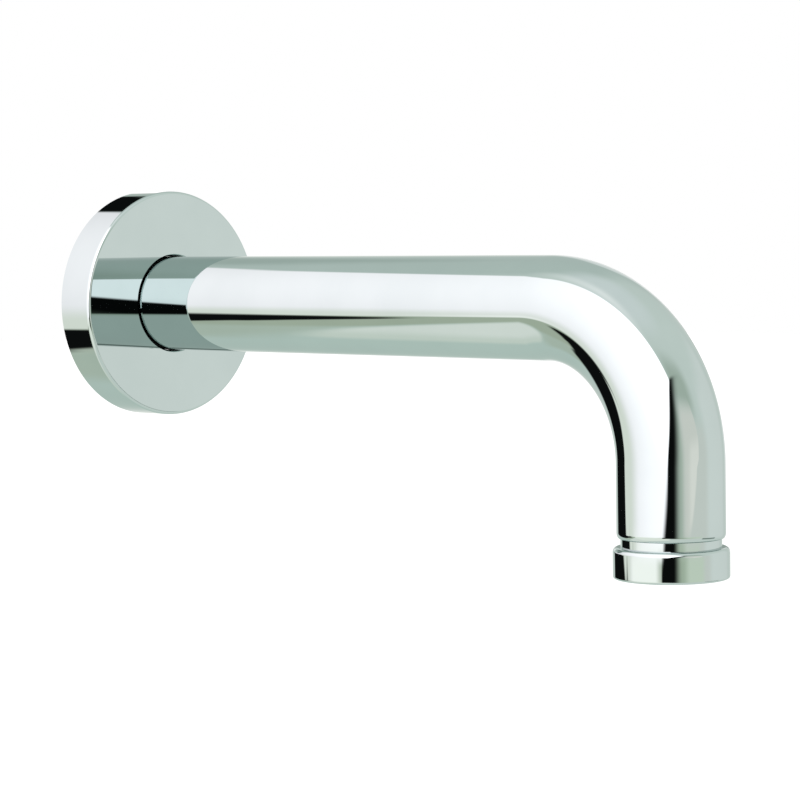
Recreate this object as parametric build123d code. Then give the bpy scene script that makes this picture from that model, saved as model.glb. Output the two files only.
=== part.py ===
from build123d import *

import os
from math import sqrt

# Round wall spout of chromed brass: a bent tube held on a wall nipple, a cover flange and an aerator.
# Millimetres, +Z up. The origin is on the wall face, in the middle of the inlet thread. The tube leaves
# the wall along +X and bends down to the outlet.

# Tube
TUBE_DIAMETER = 25.0
TUBE_WALL = 1.5
REACH = 180.0  # wall face to the outlet's axis
BEND_RADIUS = 35.0  # of the tube's centre line
NOSE_STRAIGHT = 17.0  # straight tube below the bend
TUBE_END_ROUND = 0.6

# Cover flange
FLANGE_DIAMETER = 60.0
FLANGE_DEPTH = 11.0  # wall face to the front edge of the rim
FACE_CROWN = 2500.0  # radius of the very slightly domed face
RIM_ROUND = 0.9
RIM_FOOT = 2.5  # width of the rim that meets the wall
FACE_PLATE = 3.0
HOLE_GAP = 0.45  # open gap round the tube, seen at the face
HOLE_LIP = 1.2
HOLE_BEVEL = 0.25
GUIDE_GAP = 0.15  # between the tube and the flange's guide bore
HUB_WALL = 2.1
HUB_LIP = 2.4
HOLLOW_BEVEL = 1.0
FLANGE_RING_SECTION = 2.4
FLANGE_RING_WIDTH = 2.6

# Wall gasket
GASKET_THICKNESS = 2.5
GASKET_WIDTH = 5.5
GASKET_LEDGE = 3.0

# Wall nipple: G1/2 thread into the wall, spigot into the tube
THREAD_DIAMETER = 20.955
THREAD_LENGTH = 14.0
THREAD_BEVEL = 1.2
COLLAR_BACK = 0.5
COLLAR_STEP = 0.7  # collar below the tube's outside, so that the flange slides over it
COLLAR_LENGTH = 3.5
SPIGOT_GAP = 0.1
SPIGOT_BEVEL = 0.8
SPIGOT_TAIL = 4.0
NIPPLE_WALL = 1.9
NIPPLE_RING_SECTION = 1.7
NIPPLE_RING_WIDTH = 2.2
RING_OFFSET = 7.5  # set screw to the front ring
RING_PITCH = 5.5
HEX_STEP = 0.5  # flats of the hex socket outside the water bore
HEX_DEPTH = 8.0

# Inlet bush, brazed in the tube
BUSH_WALL = 1.85
BUSH_BEVEL = 0.6
BUSH_TAIL = 1.5

# Set screw under the tube
SCREW_DIAMETER = 5.0
SCREW_OFFSET = 7.0  # from the flange's face
SCREW_RECESS = 0.6
SCREW_BEVEL = 0.5
SCREW_KEY = 2.5
SCREW_KEY_DEPTH = 2.0
LOCK_DEPTH = 1.0
LOCK_SIDE = 0.5

# Nose bush, brazed in the outlet end
NOSE_SPIGOT = 10.0
NECK_STEP = 0.9  # neck inside the tube's outside
NECK_HEIGHT = 2.0
NOSE_THREAD_STEP = 0.6
NOSE_THREAD_WALL = 1.8

# Aerator housing, the outlet ring
RING_STEP = 0.9  # ring outside the tube's outside
RING_HEIGHT = 7.2
RING_LIP = 1.0
RING_TOP_ROUND = 1.1
RING_BOTTOM_ROUND = 0.6
OPENING_BEVEL = 0.3
OPENING_EDGE = 0.2  # lip's opening outside the air slots

# Aerator insert
WASHER_THICKNESS = 1.2
CARTRIDGE_RIM = 1.0
CARTRIDGE_GAP = 0.2
CARTRIDGE_HEIGHT = 8.7
CARTRIDGE_WALL = 1.1
CARTRIDGE_LEDGE = 0.5
SLOT_SKIN = 0.6  # wall left outside an air slot
SLOT_COUNT = 8
SLOT_SWEEP = 27.0
SLOT_TOP = 5.0  # of the cartridge's height, above its rim
GRID_DEPTH = 2.5
GRID_RECESS = 0.2
GRID_CELL = 1.7  # across the flats
GRID_WEB = 0.35
GRID_EDGE = 0.6
PLATE_THICKNESS = 1.2
PLATE_BOSS = 0.8
JET_DIAMETER = 1.0
JET_COUNT = 12
JET_INSET = 1.6
STRAINER_HEIGHT = 3.0
STRAINER_WALL = 0.8

FIT_GAP = 0.05  # between a seated piece and the round face that it bears on
SEAL_BEVEL = 0.3  # share of a rubber ring's section that its squeezed corners take

TUBE_RADIUS = TUBE_DIAMETER / 2
TUBE_BORE = TUBE_RADIUS - TUBE_WALL
TUBE_START = COLLAR_BACK + COLLAR_LENGTH
NOSE_END = BEND_RADIUS + NOSE_STRAIGHT

FLANGE_RADIUS = FLANGE_DIAMETER / 2
HOLE_RADIUS = TUBE_RADIUS + HOLE_GAP
CROWN_CENTRE = FLANGE_DEPTH - sqrt(FACE_CROWN**2 - FLANGE_RADIUS**2)
HOLE_EDGE = CROWN_CENTRE + sqrt(FACE_CROWN**2 - HOLE_RADIUS**2)
RING_GROOVE_FRONT = HOLE_EDGE - HOLE_LIP
RING_GROOVE_BACK = RING_GROOVE_FRONT - FLANGE_RING_WIDTH - 2 * FIT_GAP
RING_GROOVE_RADIUS = TUBE_RADIUS + FLANGE_RING_SECTION
GASKET_SEAT_RADIUS = FLANGE_RADIUS - RIM_FOOT

BUSH_BORE = TUBE_BORE - FIT_GAP - BUSH_WALL
SPIGOT_RADIUS = BUSH_BORE - SPIGOT_GAP
NIPPLE_GROOVE_RADIUS = BUSH_BORE - NIPPLE_RING_SECTION
NIPPLE_BORE = NIPPLE_GROOVE_RADIUS - NIPPLE_WALL
SCREW_X = HOLE_EDGE + SCREW_OFFSET
LOCK_RADIUS = SPIGOT_RADIUS - LOCK_DEPTH
FRONT_RING_X = SCREW_X + RING_OFFSET
REAR_RING_X = FRONT_RING_X + RING_PITCH
SPIGOT_END = REAR_RING_X + SPIGOT_TAIL
BUSH_END = SPIGOT_END + BUSH_TAIL

# Along the outlet, lengths are measured down from the tube's axis
NECK_RADIUS = TUBE_RADIUS - NECK_STEP
RING_TOP = NOSE_END + NECK_HEIGHT
RING_BOTTOM = RING_TOP + RING_HEIGHT
RING_RADIUS = TUBE_RADIUS + RING_STEP
NOSE_THREAD_RADIUS = NECK_RADIUS - NOSE_THREAD_STEP
NOSE_BORE = NOSE_THREAD_RADIUS - NOSE_THREAD_WALL
SEAT_RADIUS = NOSE_THREAD_RADIUS + FIT_GAP
RIM_BOTTOM = RING_BOTTOM - RING_LIP
RIM_TOP = RIM_BOTTOM - CARTRIDGE_RIM
NOSE_THREAD_END = RIM_TOP - WASHER_THICKNESS
INSERT_RADIUS = SEAT_RADIUS - FIT_GAP
CARTRIDGE_RADIUS = NOSE_BORE - CARTRIDGE_GAP
CARTRIDGE_TOP = RIM_TOP - CARTRIDGE_HEIGHT
GRID_SEAT_RADIUS = CARTRIDGE_RADIUS - CARTRIDGE_WALL
CARTRIDGE_BORE = GRID_SEAT_RADIUS - CARTRIDGE_LEDGE
SLOT_RADIUS = CARTRIDGE_RADIUS - SLOT_SKIN
GRID_BOTTOM = RIM_BOTTOM - GRID_RECESS
GRID_TOP = GRID_BOTTOM - GRID_DEPTH
PLATE_TOP = CARTRIDGE_TOP - PLATE_THICKNESS
STRAINER_TOP = PLATE_TOP - STRAINER_HEIGHT

OUTLET = Location((REACH, 0, 0), (0, 90, 0))  # turns +X down, onto the outlet's axis


def turned(*corners):
    """Solid turned about the X axis. A corner is (along, radius) or (along, radius, round)."""
    points = [corner[:2] for corner in corners]
    rounds = [corner[2] if len(corner) == 3 else 0 for corner in corners]
    return revolve(make_face(FilletPolyline(*points, radius=rounds, close=True)), Axis.X)


def seal_ring(middle, inner, outer, width):
    """Rubber ring squeezed between two round faces, eight-sided in section."""
    low, high = inner + FIT_GAP, outer - FIT_GAP
    front, back = middle + width / 2, middle - width / 2
    bevel = SEAL_BEVEL * min(width, high - low)
    return turned(
        (back, low + bevel),
        (back, high - bevel),
        (back + bevel, high),
        (front - bevel, high),
        (front, high - bevel),
        (front, low + bevel),
        (front - bevel, low),
        (back + bevel, low),
    )


def hex_cells(disc_radius, bottom, top):
    """Hexagonal through holes that fill a round grid between two heights on the X axis."""
    pitch = GRID_CELL + GRID_WEB
    count = 2 * int(disc_radius / pitch) + 1
    cell = RegularPolygon(GRID_CELL / 2, 6, major_radius=False)
    limit = disc_radius - GRID_EDGE - GRID_CELL / sqrt(3)
    places = [place for place in HexLocations(pitch / 2, count, count) if place.position.length <= limit]
    floor = Plane.YZ.offset(bottom)
    return extrude(floor * Sketch([place * cell for place in places]), top - bottom)


def make_spout_tube():
    """Bent tube with rounded ends and the hole of the set screw."""
    corner = (REACH, 0)
    path = Plane.XZ * FilletPolyline((TUBE_START, 0), corner, (REACH, -NOSE_END), radius=BEND_RADIUS)
    section = Circle(TUBE_RADIUS) - Circle(TUBE_BORE)
    tube = sweep(Plane(path @ 0, z_dir=path % 0) * section, path=path)
    nose = tube.faces().sort_by(Axis.Z)[0]
    tube = fillet(nose.edges().sort_by(SortBy.RADIUS)[-1], TUBE_END_ROUND)
    return tube - screw_hole()


def screw_hole():
    """Tapped hole from below, through the tube and its bush."""
    hole = Cylinder(SCREW_DIAMETER / 2 + FIT_GAP, TUBE_RADIUS, align=(Align.CENTER, Align.CENTER, Align.MAX))
    return Pos(SCREW_X, 0, 0) * hole


def make_inlet_bush():
    """Sleeve brazed in the wall end of the tube, bored for the spigot and tapped for the set screw."""
    outside = TUBE_BORE - FIT_GAP
    bush = turned(
        (TUBE_START, BUSH_BORE + BUSH_BEVEL),
        (TUBE_START, outside),
        (BUSH_END, outside),
        (BUSH_END, BUSH_BORE),
        (TUBE_START + BUSH_BEVEL, BUSH_BORE),
    )
    return bush - screw_hole()


def make_wall_nipple():
    """Inlet thread, collar and spigot in one turned piece, with a hex socket in the water bore."""
    thread = THREAD_DIAMETER / 2
    back = -THREAD_LENGTH
    half_lock = SCREW_DIAMETER / 2 + LOCK_SIDE
    half_ring = NIPPLE_RING_WIDTH / 2 + FIT_GAP
    grooves = []
    for middle, half, floor in (
        (SCREW_X, half_lock, LOCK_RADIUS),
        (FRONT_RING_X, half_ring, NIPPLE_GROOVE_RADIUS),
        (REAR_RING_X, half_ring, NIPPLE_GROOVE_RADIUS),
    ):
        grooves += [(middle - half, SPIGOT_RADIUS), (middle - half, floor)]
        grooves += [(middle + half, floor), (middle + half, SPIGOT_RADIUS)]
    nipple = turned(
        (back, NIPPLE_BORE),
        (back, thread - THREAD_BEVEL),
        (back + THREAD_BEVEL, thread),
        (COLLAR_BACK, thread),
        (COLLAR_BACK, TUBE_RADIUS - COLLAR_STEP),
        (TUBE_START, TUBE_RADIUS - COLLAR_STEP),
        (TUBE_START, SPIGOT_RADIUS),
        *grooves,
        (SPIGOT_END - SPIGOT_BEVEL, SPIGOT_RADIUS),
        (SPIGOT_END, SPIGOT_RADIUS - SPIGOT_BEVEL),
        (SPIGOT_END, NIPPLE_BORE),
    )
    socket = RegularPolygon(NIPPLE_BORE + HEX_STEP, 6, major_radius=False)
    return nipple - extrude(Plane.YZ.offset(SPIGOT_END) * socket, -HEX_DEPTH)


def make_grub_screw():
    """Set screw with a hex key, standing in the lock groove of the spigot."""
    radius = SCREW_DIAMETER / 2
    top = TUBE_RADIUS - SCREW_RECESS
    screw = turned(
        (LOCK_RADIUS, 0),
        (LOCK_RADIUS, radius - SCREW_BEVEL),
        (LOCK_RADIUS + SCREW_BEVEL, radius),
        (top, radius),
        (top, 0),
    )
    key = RegularPolygon(SCREW_KEY / 2, 6, major_radius=False)
    screw -= extrude(Plane.YZ.offset(top) * key, -SCREW_KEY_DEPTH)
    return Location((SCREW_X, 0, 0), (0, 90, 0)) * screw


def make_wall_flange():
    """Cover flange: domed face, straight rim, hollow back, and a hub grooved for its rubber ring."""
    rim_edge = (FLANGE_DEPTH, FLANGE_RADIUS)
    hole_edge = (HOLE_EDGE, HOLE_RADIUS)
    middle_radius = (FLANGE_RADIUS + HOLE_RADIUS) / 2
    middle = (CROWN_CENTRE + sqrt(FACE_CROWN**2 - middle_radius**2), middle_radius)
    hollow_front = FLANGE_DEPTH - FACE_PLATE
    hub_back = RING_GROOVE_BACK - HUB_LIP
    guide = TUBE_RADIUS + GUIDE_GAP
    hub = RING_GROOVE_RADIUS + HUB_WALL
    ledge = GASKET_SEAT_RADIUS - GASKET_LEDGE
    hollow_corners = [(hollow_front, hub), (hollow_front, ledge)]
    back = Polyline(
        hole_edge,
        (RING_GROOVE_FRONT, HOLE_RADIUS),
        (RING_GROOVE_FRONT, RING_GROOVE_RADIUS),
        (RING_GROOVE_BACK, RING_GROOVE_RADIUS),
        (RING_GROOVE_BACK, guide),
        (hub_back, guide),
        (hub_back, hub),
        *hollow_corners,
        (GASKET_THICKNESS, ledge),
        (GASKET_THICKNESS, GASKET_SEAT_RADIUS),
        (0, GASKET_SEAT_RADIUS),
        (0, FLANGE_RADIUS),
        rim_edge,
    )
    outline = make_face([ThreePointArc(rim_edge, middle, hole_edge), back])
    outline = fillet(corner_at(outline, rim_edge), RIM_ROUND)
    outline = chamfer(corner_at(outline, hole_edge), HOLE_BEVEL)
    for corner in hollow_corners:
        outline = chamfer(corner_at(outline, corner), HOLLOW_BEVEL)
    return revolve(outline, Axis.X)


def corner_at(outline, place):
    """The outline's corner at a place."""
    return outline.vertices().sort_by_distance(place)[0]


def make_wall_gasket():
    """Foam ring seated on the ledge in the flange's back, flush with the wall."""
    outer = GASKET_SEAT_RADIUS - FIT_GAP
    inner = GASKET_SEAT_RADIUS - GASKET_WIDTH
    return turned((0, inner), (0, outer), (GASKET_THICKNESS, outer), (GASKET_THICKNESS, inner))


def make_nose_bush():
    """Bush brazed in the outlet end: spigot, neck and the thread of the outlet ring."""
    top = NOSE_END - NOSE_SPIGOT
    spigot = TUBE_BORE - FIT_GAP
    return OUTLET * turned(
        (top, NOSE_BORE),
        (top, spigot),
        (NOSE_END, spigot),
        (NOSE_END, NECK_RADIUS),
        (RING_TOP, NECK_RADIUS),
        (RING_TOP, NOSE_THREAD_RADIUS),
        (NOSE_THREAD_END, NOSE_THREAD_RADIUS),
        (NOSE_THREAD_END, NOSE_BORE),
    )


def make_aerator_housing():
    """Outlet ring, screwed up to the neck, with a lip that carries the insert."""
    opening = SLOT_RADIUS + OPENING_EDGE
    return OUTLET * turned(
        (RING_TOP, SEAT_RADIUS),
        (RING_TOP, RING_RADIUS, RING_TOP_ROUND),
        (RING_BOTTOM, RING_RADIUS, RING_BOTTOM_ROUND),
        (RING_BOTTOM, opening + OPENING_BEVEL),
        (RING_BOTTOM - OPENING_BEVEL, opening),
        (RIM_BOTTOM, opening),
        (RIM_BOTTOM, SEAT_RADIUS),
    )


def make_aerator_washer():
    """Flat washer between the nose bush and the insert's rim."""
    inner = NOSE_BORE + FIT_GAP
    return OUTLET * turned(
        (NOSE_THREAD_END, inner),
        (NOSE_THREAD_END, INSERT_RADIUS),
        (RIM_TOP, INSERT_RADIUS),
        (RIM_TOP, inner),
    )


def make_aerator_cartridge():
    """Moulded cup of the insert, with air slots round the inside and a ledge for the grid."""
    cup = turned(
        (RIM_BOTTOM, GRID_SEAT_RADIUS),
        (RIM_BOTTOM, INSERT_RADIUS),
        (RIM_TOP, INSERT_RADIUS),
        (RIM_TOP, CARTRIDGE_RADIUS),
        (CARTRIDGE_TOP, CARTRIDGE_RADIUS),
        (CARTRIDGE_TOP, CARTRIDGE_BORE),
        (GRID_TOP, CARTRIDGE_BORE),
        (GRID_TOP, GRID_SEAT_RADIUS),
    )
    slot_inside = CARTRIDGE_BORE - CARTRIDGE_LEDGE
    slot_top = RIM_TOP - SLOT_TOP
    section = Polyline(
        (RIM_BOTTOM, slot_inside),
        (RIM_BOTTOM, SLOT_RADIUS),
        (slot_top, SLOT_RADIUS),
        (slot_top, slot_inside),
        close=True,
    )
    slot = revolve(make_face(section), Axis.X, SLOT_SWEEP)
    for number in range(SLOT_COUNT):
        cup -= Rot(360 / SLOT_COUNT * number, 0, 0) * slot
    return OUTLET * cup


def make_aerator_honeycomb():
    """Round grid of hexagonal cells that straightens the water, seated on the cartridge's ledge."""
    radius = GRID_SEAT_RADIUS - FIT_GAP
    disc = turned((GRID_TOP, 0), (GRID_TOP, radius), (GRID_BOTTOM, radius), (GRID_BOTTOM, 0))
    return OUTLET * (disc - hex_cells(radius, GRID_TOP, GRID_BOTTOM))


def make_aerator_jet_plate():
    """Plate on top of the cartridge that splits the water into a ring of jets."""
    boss = CARTRIDGE_BORE - FIT_GAP
    plate = turned(
        (PLATE_TOP, 0),
        (PLATE_TOP, CARTRIDGE_RADIUS),
        (CARTRIDGE_TOP, CARTRIDGE_RADIUS),
        (CARTRIDGE_TOP, boss),
        (CARTRIDGE_TOP + PLATE_BOSS, boss),
        (CARTRIDGE_TOP + PLATE_BOSS, 0),
    )
    jets = PolarLocations(boss - JET_INSET, JET_COUNT)
    holes = Sketch([place * Circle(JET_DIAMETER / 2) for place in jets])
    return OUTLET * (plate - extrude(Plane.YZ.offset(PLATE_TOP) * holes, PLATE_THICKNESS + PLATE_BOSS))


def make_aerator_strainer():
    """Sieve on top of the jet plate: a shallow cup with a hexagonal mesh."""
    bore = CARTRIDGE_RADIUS - STRAINER_WALL
    floor = STRAINER_TOP + STRAINER_WALL
    cup = turned(
        (STRAINER_TOP, 0),
        (STRAINER_TOP, CARTRIDGE_RADIUS),
        (PLATE_TOP, CARTRIDGE_RADIUS),
        (PLATE_TOP, bore),
        (floor, bore),
        (floor, 0),
    )
    return OUTLET * (cup - hex_cells(bore, STRAINER_TOP, floor))


nodes = {
    "spout_tube": make_spout_tube(),
    "inlet_bush": make_inlet_bush(),
    "wall_nipple": make_wall_nipple(),
    "nipple_o_ring_front": seal_ring(FRONT_RING_X, NIPPLE_GROOVE_RADIUS, BUSH_BORE, NIPPLE_RING_WIDTH),
    "nipple_o_ring_rear": seal_ring(REAR_RING_X, NIPPLE_GROOVE_RADIUS, BUSH_BORE, NIPPLE_RING_WIDTH),
    "grub_screw": make_grub_screw(),
    "wall_flange": make_wall_flange(),
    "flange_o_ring": seal_ring(
        (RING_GROOVE_FRONT + RING_GROOVE_BACK) / 2, TUBE_RADIUS, RING_GROOVE_RADIUS, FLANGE_RING_WIDTH
    ),
    "wall_gasket": make_wall_gasket(),
    "nose_bush": make_nose_bush(),
    "aerator_housing": make_aerator_housing(),
    "aerator_washer": make_aerator_washer(),
    "aerator_cartridge": make_aerator_cartridge(),
    "aerator_honeycomb": make_aerator_honeycomb(),
    "aerator_jet_plate": make_aerator_jet_plate(),
    "aerator_strainer": make_aerator_strainer(),
}

os.makedirs("parts", exist_ok=True)
for name, solid in nodes.items():
    export_step(solid, f"parts/{name}.step")
print("ok")
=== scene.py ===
"""Round wall spout in polished chrome, dressed for a studio picture on white."""
import logging
import math
from dataclasses import dataclass, field
from enum import Enum
from typing import Iterable, Sequence

import bpy
from mathutils import Matrix, Vector


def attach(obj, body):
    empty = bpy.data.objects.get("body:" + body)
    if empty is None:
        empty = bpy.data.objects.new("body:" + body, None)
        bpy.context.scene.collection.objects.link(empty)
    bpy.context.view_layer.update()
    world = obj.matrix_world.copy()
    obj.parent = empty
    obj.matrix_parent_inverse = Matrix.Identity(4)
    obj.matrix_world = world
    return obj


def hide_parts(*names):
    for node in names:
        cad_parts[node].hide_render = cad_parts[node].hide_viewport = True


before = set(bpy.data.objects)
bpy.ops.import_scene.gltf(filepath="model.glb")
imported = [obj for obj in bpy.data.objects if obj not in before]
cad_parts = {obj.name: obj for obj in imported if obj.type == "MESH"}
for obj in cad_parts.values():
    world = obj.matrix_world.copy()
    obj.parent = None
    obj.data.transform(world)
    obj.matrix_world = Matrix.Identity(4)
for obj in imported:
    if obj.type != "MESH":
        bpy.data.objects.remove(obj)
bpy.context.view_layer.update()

LOG = logging.getLogger("wall_spout")
MM = 0.001
BODY = "root"
MERGE = 0.002 * MM
CUT_MERGE = MERGE / 20
RADIAL_STEPS = 192
TUBE_RADIUS = 12.5  # millimetres, as every size of a piece is
TUBE_REACH = 180.0  # wall face to the outlet's axis
NOISE_SPAN = (0.3, 0.7)  # where most of a noise texture's values lie

Point = tuple[float, float]
Span = tuple[float, float]
Triple = tuple[float, float, float]
Rgb = Triple


class Axle(Enum):
    """The two axes that the turned pieces stand on."""

    WALL = "out of the wall"
    OUTLET = "down the outlet"


class Slot(Enum):
    """The finishes that the record names."""

    CHROME = "chrome"
    BRASS = "brass"
    RUBBER = "rubber"
    PLASTIC = "plastic"
    FOAM = "foam"
    STEEL = "steel"


class Cut(Enum):
    """What a cutting tool leaves of a piece."""

    OUTSIDE = "DIFFERENCE"
    INSIDE = "INTERSECT"


class Maths(Enum):
    """The sums that the finishes and the tent are worked out with."""

    ADD = "ADD"
    MULTIPLY = "MULTIPLY"
    MAXIMUM = "MAXIMUM"


@dataclass(frozen=True)
class Corner:
    """One corner of a turned section, in millimetres.

    Args:
        along: distance along the axis.
        radius: distance from the axis.
        rounding: radius of the rounded corner, or 0 for a sharp one.
        steps: how many flats stand for the rounding.
    """

    along: float
    radius: float
    rounding: float = 0.0
    steps: int = 6


def metres(point: Triple) -> Triple:
    """Turn millimetres into metres."""
    return tuple(value * MM for value in point)


def rounded(corners: Sequence[Corner]) -> list[Point]:
    """Lay out a closed section with its rounded corners as short flats.

    Args:
        corners: the section's corners, in order.

    Returns:
        Points of the section as (along, radius), in millimetres.
    """
    points: list[Point] = []
    for index, corner in enumerate(corners):
        here = Vector((corner.along, corner.radius))
        if corner.rounding == 0:
            points.append((here.x, here.y))
            continue
        before = corners[index - 1]
        after = corners[(index + 1) % len(corners)]
        back = (Vector((before.along, before.radius)) - here).normalized()
        forth = (Vector((after.along, after.radius)) - here).normalized()
        half = back.angle(forth) / 2
        reach = corner.rounding / math.tan(half)
        middle = here + (back + forth).normalized() * (corner.rounding / math.sin(half))
        start = here + back * reach - middle
        sweep = start.angle_signed(here + forth * reach - middle)
        for step in range(corner.steps + 1):
            arm = start.copy()
            arm.rotate(Matrix.Rotation(-sweep * step / corner.steps, 2))
            points.append((middle.x + arm.x, middle.y + arm.y))
    return points


class Bench:
    """Bench work that every modelled piece shares: adding, turning, cutting and smoothing."""

    def __init__(self, reach: float) -> None:
        """Remember how far the outlet's axis stands from the wall.

        Args:
            reach: wall face to the outlet's axis, in millimetres.
        """
        self.reach = reach

    def place(self, axle: Axle, along: float) -> Vector:
        """Find a point on an axis.

        Args:
            axle: which axis.
            along: distance along it, in millimetres.

        Returns:
            The point, in metres.
        """
        if axle is Axle.WALL:
            return Vector((along, 0.0, 0.0)) * MM
        return Vector((self.reach, 0.0, -along)) * MM

    def settle(self, name: str) -> bpy.types.Object:
        """Name the primitive just added and move its place into its mesh.

        Args:
            name: the piece's name.

        Returns:
            The object, standing at the origin.
        """
        bpy.ops.object.transform_apply(location=True, rotation=True, scale=True)
        piece = bpy.context.object
        piece.name = name
        piece.data.name = name
        return piece

    def ring(self, name: str, axle: Axle, point: Point, count: int) -> bpy.types.Object:
        """Add an open circle on an axis and go into edit mode with it selected.

        Args:
            name: the piece's name.
            axle: the axis that it stands on.
            point: (along, radius) in millimetres.
            count: corners round the circle.

        Returns:
            The circle's object.
        """
        bpy.ops.object.select_all(action="DESELECT")
        turn = (0.0, math.pi / 2, 0.0) if axle is Axle.WALL else (0.0, 0.0, 0.0)
        bpy.ops.mesh.primitive_circle_add(
            vertices=count, radius=point[1] * MM, location=self.place(axle, point[0]), rotation=turn
        )
        piece = self.settle(name)
        bpy.ops.object.mode_set(mode="EDIT")
        bpy.ops.mesh.select_mode(type="VERT")
        bpy.ops.mesh.select_all(action="SELECT")
        return piece

    def follow(self, axle: Axle, points: Sequence[Point]) -> None:
        """Extrude the selected ring along a section, point by point.

        Args:
            axle: the axis that the ring stands on.
            points: the section, starting where the ring is now.
        """
        for old, new in zip(points, points[1:]):
            step = self.place(axle, new[0]) - self.place(axle, old[0])
            bpy.ops.mesh.extrude_region_move(TRANSFORM_OT_translate={"value": step})
            if new[1] != old[1]:
                size = new[1] / old[1]
                bpy.ops.transform.resize(value=(size, size, size), center_override=self.place(axle, new[0]))

    def close(self) -> None:
        """Bridge the first and last rings and turn every face outwards."""
        bpy.ops.mesh.select_all(action="DESELECT")
        bpy.ops.mesh.select_mode(type="EDGE")
        bpy.ops.mesh.select_non_manifold(
            extend=False, use_wire=False, use_multi_face=False, use_non_contiguous=False
        )
        bpy.ops.mesh.bridge_edge_loops()
        self.tidy()

    def tidy(self) -> None:
        """Merge doubled points, turn every face outwards and leave edit mode."""
        bpy.ops.mesh.select_mode(type="VERT")
        bpy.ops.mesh.select_all(action="SELECT")
        bpy.ops.mesh.remove_doubles(threshold=MERGE)
        bpy.ops.mesh.normals_make_consistent(inside=False)
        bpy.ops.object.mode_set(mode="OBJECT")

    def turned(
        self, name: str, axle: Axle, corners: Sequence[Corner], count: int = RADIAL_STEPS
    ) -> bpy.types.Object:
        """Turn a closed section about an axis.

        Args:
            name: the piece's name.
            axle: the axis.
            corners: the section.
            count: flats round the axis.

        Returns:
            The turned piece.
        """
        points = rounded(corners)
        piece = self.ring(name, axle, points[0], count)
        self.follow(axle, points)
        self.close()
        return piece

    def prism(
        self,
        name: str,
        sides: int,
        radius: float,
        start: Triple,
        travel: Triple,
        turn: Triple = (0.0, 0.0, 0.0),
    ) -> bpy.types.Object:
        """Push a flat polygon out into a cutting tool.

        Args:
            name: the tool's name.
            sides: corners of the polygon.
            radius: middle to corner, in millimetres.
            start: the polygon's middle, in millimetres.
            travel: how far it is pushed, in millimetres.
            turn: the polygon's turn from lying flat, in radians.

        Returns:
            The tool.
        """
        bpy.ops.object.select_all(action="DESELECT")
        bpy.ops.mesh.primitive_circle_add(
            vertices=sides, radius=radius * MM, fill_type="NGON", location=metres(start), rotation=turn
        )
        tool = self.settle(name)
        bpy.ops.object.mode_set(mode="EDIT")
        bpy.ops.mesh.select_all(action="SELECT")
        bpy.ops.mesh.extrude_region_move(TRANSFORM_OT_translate={"value": metres(travel)})
        self.tidy()
        return tool

    def cut(self, piece: bpy.types.Object, tool: bpy.types.Object, keep: Cut = Cut.OUTSIDE) -> None:
        """Cut a piece with a tool and throw the tool away.

        Args:
            piece: what is cut.
            tool: what cuts it.
            keep: which side of the tool stays.
        """
        modifier = piece.modifiers.new("cut", "BOOLEAN")
        modifier.operation = keep.value
        modifier.solver = "EXACT"
        modifier.object = tool
        self.only(piece)
        bpy.ops.object.modifier_apply(modifier=modifier.name)
        mesh = tool.data
        bpy.data.objects.remove(tool)
        bpy.data.meshes.remove(mesh)

    def only(self, *pieces: bpy.types.Object) -> None:
        """Select these pieces alone; the first is the active one.

        Args:
            pieces: what is selected.
        """
        bpy.ops.object.select_all(action="DESELECT")
        for piece in pieces:
            piece.select_set(True)
        bpy.context.view_layer.objects.active = pieces[0]

    def smooth(self, piece: bpy.types.Object, angle: float = 32.0) -> None:
        """Shade a piece smooth up to an angle, with large faces leading.

        Args:
            piece: the piece.
            angle: edges sharper than this stay sharp, in degrees.
        """
        self.only(piece)
        bpy.ops.object.shade_smooth_by_angle(angle=math.radians(angle))
        modifier = piece.modifiers.new("even", "WEIGHTED_NORMAL")
        modifier.keep_sharp = True
        bpy.ops.object.modifier_apply(modifier=modifier.name)

    def hand_over(
        self, piece: bpy.types.Object, material: bpy.types.Material, slot: Slot, nodes: Iterable[str]
    ) -> None:
        """Dress a finished piece, hang it on the body and hide the CAD nodes that it replaces.

        Args:
            piece: the piece.
            material: its finish.
            slot: the record's name for that finish; not used.
            nodes: the CAD nodes that it replaces.
        """
        piece.data.materials.clear()
        piece.data.materials.append(material)
        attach(piece, BODY)
        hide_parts(*nodes)
        LOG.info("%s: %d faces", piece.name, len(piece.data.polygons))


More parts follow.
